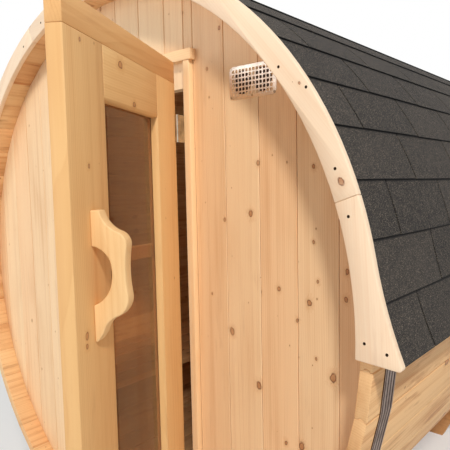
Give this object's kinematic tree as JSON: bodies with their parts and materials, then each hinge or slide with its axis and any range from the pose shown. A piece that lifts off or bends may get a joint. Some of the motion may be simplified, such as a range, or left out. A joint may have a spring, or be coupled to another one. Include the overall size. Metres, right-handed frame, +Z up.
{
  "type": "barrel sauna",
  "caption": "Barrel-shaped outdoor sauna of bead-and-cove staves on cradles, with a half-round shingle roof, steel bands and a glazed hinged door.",
  "frame": {"origin": "middle of the front cradle's underside, on the ground", "axes": "+Z up, +Y along the barrel from the door end to the back, +X to the right as seen from the front"},
  "size_m": [2.0982, 2.6409, 2.0752],
  "materials": {
    "stave_wood": "planed softwood with brown knots",
    "wall_wood": "planed softwood boards with knots",
    "arch_wood": "sanded pale softwood",
    "roof_wood": "rough softwood",
    "cradle_wood": "softwood in shade",
    "frame_wood": "planed softwood",
    "door_wood": "planed golden softwood with knots",
    "handle_wood": "sanded softwood",
    "inside_wood": "planed softwood",
    "shingle": "charcoal mineral granules on asphalt",
    "band_steel": "rolled steel",
    "grille_steel": "punched steel sheet",
    "hinge_steel": "zinc-plated steel",
    "glass": "bronze tinted float glass"
  },
  "bodies": {
    "cabin": {"staves_top": "stave_wood", "staves_bottom": "stave_wood", "staves_left_1": "stave_wood", "staves_left_2": "stave_wood", "staves_left_3": "stave_wood", "staves_left_4": "stave_wood", "staves_right_1": "stave_wood", "staves_right_2": "stave_wood", "staves_right_3": "stave_wood", "staves_right_4": "stave_wood", "front_wall_left": "wall_wood", "front_wall_right": "wall_wood", "front_wall_above_door": "wall_wood", "front_wall_below_door": "wall_wood", "back_wall": "wall_wood", "front_arch": "arch_wood", "back_arch": "arch_wood", "roof_boards_left": "roof_wood", "roof_boards_right": "roof_wood", "eave_board_left": "roof_wood", "eave_board_right": "roof_wood", "cradle_front": "cradle_wood", "cradle_back": "cradle_wood", "door_jamb_left": "frame_wood", "door_jamb_right": "frame_wood", "door_head": "frame_wood", "door_sill": "frame_wood", "floor_boards": "inside_wood", "floor_bearers": "inside_wood", "bench_slats": "inside_wood", "bench_frames": "inside_wood", "roof_shingles": "shingle", "steel_bands": "band_steel", "vent_grille": "grille_steel", "hinge_frame_leaves": "hinge_steel"},
    "door": {"door_stile_hinge": "door_wood", "door_stile_free": "door_wood", "door_top_rail": "door_wood", "door_upper_panel": "door_wood", "door_bottom_rail": "door_wood", "door_glass": "glass", "glass_beads": "door_wood", "door_handle": "handle_wood", "door_pull_bar": "door_wood", "hinge_door_leaves": "hinge_steel"}
  },
  "joints": [
    {"name": "door_hinge", "type": "hinge", "parent": "cabin", "child": "door", "pos_m": [0.3405, -0.323, 1.075], "axis": [0, 0, 1], "range_deg": [-120.3, 40]}
  ]
}
